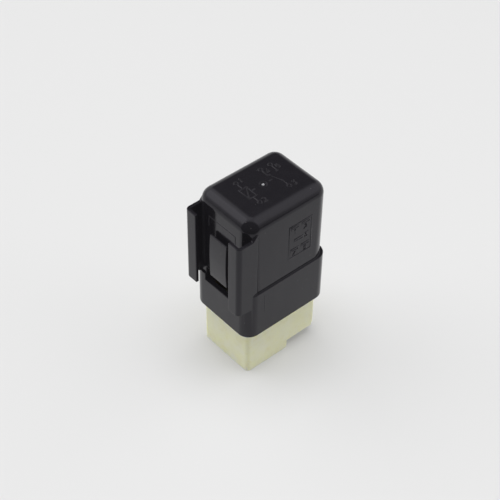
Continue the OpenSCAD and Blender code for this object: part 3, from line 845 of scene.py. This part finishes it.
@dataclass
class Cover(Assembly):
    """The black moulding: skirt, upper body, bracket slot and latch finger."""

    edge: float = 0.22
    line_width: float = 0.52
    line_height: float = 0.19
    witness_width: float = 0.24
    witness_height: float = 0.09
    body_inset: float = 0.5
    taper: float = 0.0055
    taper_foot: float = 20.0
    stub: tuple[Flat, ...] = ((0, -0.2), (0.42, -0.2), (0.4, 0.04), (0.24, 0.16), (0, 0.1))
    stub_depth: float = 0.12
    tear_waves: Flat = (37.0, 51.0)
    tear_spread: float = 0.16
    tear_rise: float = 0.7

    def __post_init__(self) -> None:
        """Takes the reach of the skirt's end and side, and the top's height, from the node."""
        low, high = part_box("cover")
        self.end, self.side, self.top = high.x, -low.y, high.z

    def upright_face(self, across: Vector, skirt_reach: float) -> Face:
        """One of the body's four upright faces, which lean in a little as they rise.

        Args:
            across: the face's level direction.
            skirt_reach: how far the skirt below it stands from the middle, in metres.

        Returns:
            The face, with heights that count from the frame's origin.
        """
        outward = across.cross(Z_AXIS)
        reach = skirt_reach - (self.body_inset - self.taper * self.taper_foot) * MM
        return Face(outward * reach, across, (Z_AXIS - self.taper * outward).normalized())

    def wiring_sign(self) -> None:
        """Raises the plain wiring sign on the top: coil, switch arm and five numbered ends."""
        relief = Relief(Face(self.top * Z_AXIS, X_AXIS, Y_AXIS), self.line_width, self.line_height)
        coil_x, arm_x, end_y, ring_r = -5.6, 5.2, 5.0, 0.6
        half_wide, half_tall = 1.3, 2.2
        relief.block((coil_x, 0), 2 * half_wide, 2 * half_tall)
        relief.line((coil_x - half_wide, -half_tall), (coil_x + half_wide, half_tall))
        for number, side in ((1, 1), (2, -1)):
            relief.line((coil_x, side * half_tall), (coil_x, side * (end_y - ring_r)))
            relief.ring((coil_x, side * end_y), ring_r)
            relief.numeral(number, (coil_x + half_wide, side * end_y - 0.8), 1.6)
        relief.line((coil_x + half_wide, 0), (coil_x + 2 * half_wide, 0))
        relief.line((2.0, 0), (3.2, 0))
        relief.line((arm_x, ring_r - end_y), (arm_x, -2.4), (arm_x - 1.5, 1.7))
        relief.ring((arm_x, -end_y), ring_r)
        relief.numeral(3, (arm_x + 1.3, -end_y - 0.8), 1.6)
        for number, side in ((4, -1), (5, 1)):
            place = arm_x + side * 1.8
            relief.line((arm_x + side * 1.0, 1.9), (place, 1.9), (place, end_y - ring_r))
            relief.ring((place, end_y), ring_r)
            relief.numeral(number, (place + 0.9, end_y - 2.4), 1.4)
        self.dress(relief.piece("wiring_sign"), Finishes.cover)

    def blade_key(self) -> None:
        """Raises a plan of the five blades on the near long side, each with its numeral."""
        relief = Relief(self.upright_face(X_AXIS, self.side), self.line_width, self.line_height)
        middle, width, rows = 4.2, 8.4, (41.4, 45.6, 49.8)
        relief.block((middle, rows[1]), width, rows[2] - rows[0] + 3.6)
        relief.block((middle - 0.6, rows[1]), 3.0, 0.9)
        relief.numeral(3, (middle + 1.8, rows[1] - 0.7), 1.5)
        for first, row in ((1, rows[2]), (4, rows[0])):
            for step in (0, 1):
                place = middle - 2.0 + 4.0 * step
                relief.block((place, row + 0.9), 2.8, 0.8)
                relief.numeral(first + step, (place - 0.4, row - 1.4), 1.4)
        self.dress(relief.piece("blade_key"), Finishes.cover)

    def witness_lines(self) -> None:
        """Adds the fine lines where the mould's slides met, and the one down the skirt."""
        slide = Relief(self.upright_face(-Y_AXIS, self.end), self.witness_width, self.witness_height)
        slide.line((5.6, 49.6), (5.6, 53.2), (-5.6, 53.2), (-5.6, 49.6))
        self.dress(slide.piece("slide_line"), Finishes.cover)
        skirt = Face(-self.side * Y_AXIS, X_AXIS, Z_AXIS)
        parting = Relief(skirt, self.witness_width, self.witness_height)
        parting.line((-9.2, 31.4), (-9.2, 25.6))
        self.dress(parting.piece("parting_line"), Finishes.cover)

    def gate_stub(self) -> None:
        """Leaves the torn stub of the gate in its dimple."""
        mesh = turned("gate_stub", self.stub, 14)
        wave_x, wave_y = self.tear_waves
        for point in mesh.vertices:
            swing = math.sin(wave_x * point.co.x / MM + wave_y * point.co.y / MM)
            point.co.x *= 1 + self.tear_spread * swing
            point.co.z += max(0.0, point.co.z) * self.tear_rise * swing
            point.co.z += self.top - self.stub_depth * MM
        self.dress(new_object("gate_stub", mesh), Finishes.torn)

    def build(self) -> None:
        """Makes the moulding with its rounded edges and its relief."""
        self.soften_node("cover", Finishes.cover, self.edge, 3)
        self.wiring_sign()
        self.blade_key()
        self.witness_lines()
        self.gate_stub()


@dataclass
class ConnectorBase(Assembly):
    """The pale nylon base with its shroud."""

    edge: float = 0.28
    corner: float = 0.8
    worn_corner: float = 1.6
    shroud_side: float = 16.5
    shroud_top: float = 16.85

    def round_corners(self, solid: bmesh.types.BMesh) -> None:
        """Widens the shroud's four upright corners to the soft radius that they have.

        Args:
            solid: the moulding before its edges are rounded.
        """
        below = [point for point in solid.verts if point.co.z < self.shroud_top * MM]
        lengths = [max(abs(p.co[axis]) for p in below if p.co.z < self.shroud_side * MM) for axis in (0, 1)]
        extra = (self.worn_corner - self.corner) * MM
        for point in below:
            out = Vector([abs(point.co[axis]) - lengths[axis] + self.corner * MM for axis in (0, 1)])
            if min(out) < -0.001 * MM or not 0.01 * MM < out.length < 1.02 * self.corner * MM:
                continue
            moved = out * ((out.length + extra) / out.length) - Vector((extra, extra))
            for axis in (0, 1):
                point.co[axis] += math.copysign(1.0, point.co[axis]) * (moved[axis] - out[axis])

    def build(self) -> None:
        """Makes the moulding with its rounded edges."""
        self.soften_node("connector_base", Finishes.base, self.edge, 4, self.round_corners)


@dataclass
class Magnet(Assembly):
    """The yoke, the core, the bobbin and its winding with its two tails."""

    sheet_edge: float = 0.16
    core_edge: float = 0.2
    bobbin_edge: float = 0.15
    rows: int = 38
    steps: int = 40
    wire_share: float = 0.49
    tube_radius: float = 3.95
    post_width: float = 1.5
    wraps: float = 2.5
    tail_wires: float = 6.4
    wrap_reach: float = 1.2
    squareness: float = 0.35

    def winding(self) -> None:
        """Winds the outer layer of wire over the layers below it."""
        low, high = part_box("coil_winding")
        centre = flat_middle("coil_winding")
        pitch = (high.z - low.z) / self.rows
        wire = self.wire_share * pitch
        reach = (high.x - low.x) / 2 - wire
        path = []
        for step in range((self.rows - 1) * self.steps + 1):
            turns = step / self.steps
            path.append(centre + around(reach, FULL_TURN * turns, low.z + wire + pitch * turns))
        foot, head, outer = low.z / MM, high.z / MM, reach / MM
        layers = ((self.tube_radius, foot), (outer, foot), (outer, head), (self.tube_radius, head))
        under = turned("under_layers", layers, 64, closed=True)
        under.transform(Matrix.Translation(centre))
        piece = joined("winding_turns", [swept("outer_layer", path, wire, 6), under])
        self.dress(piece, Finishes.copper, "coil_winding")

    def tail(self, node: str, post: str) -> None:
        """Leads one end of the winding to its post and wraps it round two and a half times.

        Args:
            node: the tail's CAD node.
            post: the terminal that it ends on.
        """
        low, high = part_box(node)
        strip_low, strip_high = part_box(post)
        wind_low, wind_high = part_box("coil_winding")
        side = 1.0 if low.y + high.y > 0 else -1.0
        wire = (high.z - low.z) / self.tail_wires
        half_post = self.post_width * MM / 2
        half_x = (strip_high.x - strip_low.x) / 2 + self.wrap_reach * wire
        half_y = half_post + self.wrap_reach * wire
        edge_y = strip_high.y if side > 0 else -strip_low.y
        hub = Vector(((strip_low.x + strip_high.x) / 2, side * (edge_y - half_post), 0))
        core = (wind_low.x + wind_high.x) / 2 * X_AXIS
        level = (low.z + high.z) / 2
        towards = (hub - core).normalized()
        start = core + towards * ((wind_high.x - wind_low.x) / 2 - 0.5 * wire)
        path = [start + level * Z_AXIS, start.lerp(hub, 0.4) + (level - 0.5 * wire) * Z_AXIS]
        first = math.atan2(towards.y, towards.x) - math.pi / 2
        steps = round(TURN_STEPS * self.wraps)
        for step in range(steps + 1):
            spoke = around(1.0, first + FULL_TURN * step / TURN_STEPS)
            bulge = [math.copysign(abs(part) ** self.squareness, part) for part in spoke.xy]
            rise = level + 2.0 * wire * (step - steps / 2) / TURN_STEPS
            path.append(hub + Vector((half_x * bulge[0], half_y * bulge[1], rise)))
        piece = new_object(node + "_wraps", swept(node, path, wire, 8))
        self.dress(piece, Finishes.copper, node)

    def build(self) -> None:
        """Makes the magnet's pieces."""
        self.soften_node("yoke", Finishes.steel, self.sheet_edge)
        self.soften_node("iron_core", Finishes.core, self.core_edge)
        self.soften_node("bobbin", Finishes.bobbin, self.bobbin_edge)
        self.winding()
        for end in "ab":
            self.tail("coil_tail_" + end, "coil_terminal_" + end)


@dataclass
class ArmatureSet(Assembly):
    """The armature and what it carries: blade, rivets and the moving contact."""

    body: str = ARMATURE_BODY
    armature_edge: float = 0.15
    blade_edge: float = 0.06
    rivet_edge: float = 0.22
    contact_edge: float = 0.2

    def build(self) -> None:
        """Makes the armature's pieces on their own body."""
        self.soften_node("armature", Finishes.steel, self.armature_edge)
        self.soften_node("contact_blade", Finishes.bronze, self.blade_edge)
        self.soften_node("blade_rivets", Finishes.rivet, self.rivet_edge, 3)
        self.soften_node("moving_contact", Finishes.silver, self.contact_edge, 3)


@dataclass
class Terminals(Assembly):
    """The five terminals with their plug-in blades, and the two fixed contacts."""

    coined: float = 0.12
    contact_edge: float = 0.2
    switched: tuple[str, ...] = ("normally_open", "normally_closed")
    plain: tuple[str, ...] = ("common_terminal", "coil_terminal_a", "coil_terminal_b")

    def build(self) -> None:
        """Makes the terminals and the contacts."""
        for strip in (*(end + "_terminal" for end in self.switched), *self.plain):
            self.soften_node(strip, Finishes.terminal, self.coined)
        for end in self.switched:
            self.soften_node(end + "_contact", Finishes.silver, self.contact_edge, 3)


@dataclass
class ReturnSpring(Assembly):
    """The tension spring between the armature's tail and the yoke's lug."""

    turns: int = 14
    wire: float = 0.15
    coil_foot: float = 2.0
    coil_length: float = 9.0
    hook: tuple[Flat, ...] = ((0.62, 0.42), (0.5, 0.24), (0.25, 0.15), (0.06, 0.22), (0.0, 0.42))
    taper_steps: int = 8

    def build(self) -> None:
        """Winds the spring, whose straight ends pass through their holes and turn over."""
        low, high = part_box("return_spring")
        centre = flat_middle("return_spring")
        wire = self.wire * MM
        reach = (high.x - low.x) / 2 - wire
        path = [centre + Vector((out * MM, 0, low.z + rise * MM)) for out, rise in self.hook]
        steps = TURN_STEPS * self.turns
        for step in range(steps + 1):
            wide = reach * min(1.0, min(step, steps - step) / self.taper_steps)
            height = low.z + (self.coil_foot + self.coil_length * step / steps) * MM
            path.append(centre + around(wide, FULL_TURN * step / TURN_STEPS, height))
        path += [centre + Vector((out * MM, 0, high.z - rise * MM)) for out, rise in reversed(self.hook)]
        piece = new_object("spring_coil", swept("spring_coil", path, wire, 10))
        self.paint(piece, Finishes.spring, "return_spring")
        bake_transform(piece)


@dataclass
class Braid(Assembly):
    """The woven copper braid from the common post over to the contact blade."""

    radius: float = 0.65
    strand: float = 0.115
    strands: int = 8
    lay: float = 4.2
    weave: float = 0.07
    samples: int = 150
    core_share: float = 0.72
    sink: float = 0.35
    play: float = 0.6

    def middle(self) -> list[Vector]:
        """The braid's middle line: up from the post, over in a half ring and down to the blade.

        Returns:
            Its points, evenly spaced, in metres.
        """
        low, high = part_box("flexible_braid")
        thick = self.radius * MM
        bend = (high.y - low.y) / 2 - thick
        crown = high.z - thick - bend
        x = (low.x + high.x) / 2
        foot = Vector((x, low.y + thick, low.z))
        tip = Vector((x, high.y - thick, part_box("contact_blade")[1].z - self.sink * MM))
        legs = (crown - foot.z, math.pi * bend, crown - tip.z)
        points = []
        for step in range(self.samples + 1):
            way = sum(legs) * step / self.samples
            if way <= legs[0]:
                points.append(foot + way * Z_AXIS)
            elif way <= legs[0] + legs[1]:
                turn = (way - legs[0]) / bend
                side = Vector((0, -math.cos(turn), math.sin(turn))) * bend
                points.append(Vector((x, (foot.y + tip.y) / 2, crown)) + side)
            else:
                points.append(tip + (sum(legs) - way) * Z_AXIS)
        return points

    def plait(self, line: Sequence[Vector]) -> bpy.types.Object:
        """Weaves the strands round the middle line, half of them each way.

        Args:
            line: the middle line.

        Returns:
            The braid as one piece.
        """
        last = len(line) - 1
        meshes = [swept("core", line, self.core_share * self.radius * MM, 16)]
        step_length = (line[1] - line[0]).length / MM
        for index in range(2 * self.strands):
            way = 1 if index % 2 else -1
            path = []
            for step, point in enumerate(line):
                beside = (line[min(step + 1, last)] - line[max(step - 1, 0)]).normalized().cross(X_AXIS)
                turn = way * FULL_TURN * step * step_length / self.lay + math.pi * index / self.strands
                wave = math.sin(self.strands * turn * way)
                spoke = around((self.radius - self.strand + self.weave * (way * wave - 1)) * MM, turn)
                path.append(point + spoke.x * X_AXIS + spoke.y * beside)
            meshes.append(swept("strand", path, self.strand * MM, 6))
        return joined("woven_braid", meshes)

    def build(self) -> None:
        """Makes the braid."""
        line = self.middle()
        piece = self.plait(line)
        self.paint(piece, Finishes.braid, "flexible_braid")
        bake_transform(piece)


@dataclass
class Suppressor(Assembly):
    """The resistor across the coil: a dipped body with colour bands, and two bent leads."""

    lead: float = 0.3
    bend: float = 0.9
    bend_steps: int = 8
    root: float = 0.2
    shoulder: tuple[Flat, ...] = ((0.0, 1.0), (0.45, 0.99), (0.8, 0.95), (0.96, 0.88), (1.0, 0.78))
    waist: tuple[Flat, ...] = ((0.98, 0.64), (0.92, 0.55), (0.86, 0.47))

    def body_piece(self) -> None:
        """Turns the body, with its thicker ends and its rounded shoulders."""
        low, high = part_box("resistor_body")
        half, full = (high.y - low.y) / 2 / MM, (high.z - low.z) / 2 / MM
        outline = [(radius * full, height * half) for radius, height in self.shoulder + self.waist]
        profile = [(radius, -height) for radius, height in outline] + outline[::-1]
        mesh = turned("resistor_turned", profile, 40)
        mesh.transform(Matrix.Rotation(math.pi / 2, 4, "X"))
        mesh.transform(Matrix.Translation(Vector(((low.x + high.x) / 2, 0, (low.z + high.z) / 2))))
        self.dress(new_object("resistor_turned", mesh), Finishes.coat, "resistor_body")

    def lead_pieces(self) -> None:
        """Bends the two leads round to their posts."""
        low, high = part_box("resistor_leads")
        wire, bend = self.lead * MM, self.bend * MM
        x, y, z = low.x + wire, high.y - wire, (low.z + high.z) / 2
        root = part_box("resistor_body")[1].y - self.root * MM
        meshes = []
        for side in (-1, 1):
            path = [Vector((x, side * root, z)), Vector((x, side * (y - bend), z))]
            for step in range(1, self.bend_steps + 1):
                spoke = around(bend, math.pi / 2 * step / self.bend_steps)
                path.append(Vector((x + bend - spoke.x, side * (y - bend + spoke.y), z)))
            path.append(Vector((high.x, side * y, z)))
            meshes.append(swept("lead", path, wire, 14))
        self.dress(joined("bent_leads", meshes), Finishes.tinned, "resistor_leads")

    def build(self) -> None:
        """Makes the resistor."""
        self.body_piece()
        self.lead_pieces()


# ---- Studio ----


@dataclass(frozen=True)
class Lobe:
    """A brighter or a darker part of the room, round one direction."""

    azimuth: float
    elevation: float
    gain: float
    rim: float
    full: float

    def axis(self) -> Vector:
        """The direction of its middle, counted from +X towards +Y."""
        rise = math.radians(self.elevation)
        return around(math.cos(rise), math.radians(self.azimuth), math.sin(rise))


@dataclass
class Studio:
    """The pale floor, the soft room light and the camera."""

    floor_radius: float = 1.6
    eye: Place = (-0.1838, -0.2014, 0.2981)
    azimuth: float = -41.69
    elevation: float = 43.99
    roll: float = 1.02
    lens: float = 94.44
    horizon: float = 0.62
    overhead: float = 0.82
    dark: float = 0.13
    dark_side: Place = (-0.719, -0.695, 0.0)
    dark_from: float = 0.12
    dark_to: float = 0.36
    lobes: tuple[Lobe, ...] = (
        Lobe(130.0, 40.0, 0.95, 0.86, 0.985),
        Lobe(80.0, 66.0, 0.25, 0.84, 0.98),
        Lobe(-46.0, 42.0, 0.32, 0.82, 0.98),
        Lobe(40.0, 38.0, -0.86, 0.81, 0.972),
    )
    lamp_power: float = 8.5
    lamp_size: float = 0.8
    lamp_height: float = 1.1

    def floor(self) -> None:
        """Makes the wide round floor."""
        work = bmesh.new()
        bmesh.ops.create_circle(work, cap_ends=True, radius=self.floor_radius, segments=128)
        mesh = bpy.data.meshes.new("studio_floor")
        work.to_mesh(mesh)
        work.free()
        mesh.materials.append(Finishes.paper.material())
        new_object("studio_floor", mesh)

    def lamp(self) -> None:
        """Hangs one wide soft lamp overhead, which mirrors nowhere."""
        data = bpy.data.lights.new("lamp_above", "AREA")
        data.shape = "DISK"
        data.size = self.lamp_size
        data.energy = self.lamp_power
        lamp = new_object("lamp_above", data)
        lamp.location.z = self.lamp_height
        lamp.visible_glossy = False

    def room(self) -> None:
        """Lights the relay from a pale room that is darker behind the camera."""
        world = bpy.data.worlds.new("studio")
        world.use_nodes = True
        layout = NodeLayout(world.node_tree)
        towards = layout.add("TexCoord").outputs["Generated"]

        def facing(axis: Vector | Place) -> Socket:
            """How squarely a direction points along an axis."""
            return layout.add("VectorMath", {0: towards, 1: axis}, operation="DOT_PRODUCT").outputs["Value"]

        level = layout.span(facing(Z_AXIS), 0.0, 0.4, self.horizon, self.overhead, "SMOOTHSTEP")
        for lobe in self.lobes:
            part = layout.span(facing(lobe.axis()), lobe.rim, lobe.full, 0.0, lobe.gain, "SMOOTHSTEP")
            level = layout.maths("ADD", level, part)
        forward = facing(self.dark_side)
        open_part = layout.span(forward, self.dark_from, self.dark_to, 1.0, 0.0, "SMOOTHSTEP")
        level = layout.maths("ADD", layout.maths("MULTIPLY", level, open_part), self.dark)
        background = layout.add("Background", {"Color": (1.0, 1.0, 1.0, 1.0), "Strength": level})
        layout.add("OutputWorld", {"Surface": background.outputs["Background"]})
        bpy.context.scene.world = world

    def camera(self) -> None:
        """Sets the camera down at its viewing angle."""
        azimuth, elevation = math.radians(self.azimuth), math.radians(self.elevation)
        back = around(math.cos(elevation), azimuth - math.pi / 2, math.sin(elevation))
        right = around(1.0, azimuth)
        level = Matrix((right, back.cross(right), back)).transposed()
        data = bpy.data.cameras.new("camera")
        data.lens = self.lens
        data.clip_start = 0.01
        data.clip_end = 20.0
        camera = new_object("camera", data)
        rolled = level @ Matrix.Rotation(math.radians(self.roll), 3, "Z")
        camera.matrix_world = Matrix.Translation(self.eye) @ rolled.to_4x4()
        bpy.context.scene.camera = camera

    def build(self) -> None:
        """Makes the whole studio."""
        self.floor()
        self.room()
        self.lamp()
        self.camera()
        bpy.context.scene.view_settings.view_transform = "Standard"


def main() -> None:
    """Builds the studio and each sub-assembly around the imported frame."""
    logging.basicConfig(level=logging.INFO, format="%(name)s %(message)s")
    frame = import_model()
    Studio().build()
    for part in (Cover, ConnectorBase, Magnet, ArmatureSet, Terminals, ReturnSpring, Braid, Suppressor):
        assembly = part(frame["nodes"])
        assembly.build()
        assembly.report()


if __name__ == "__main__":
    main()
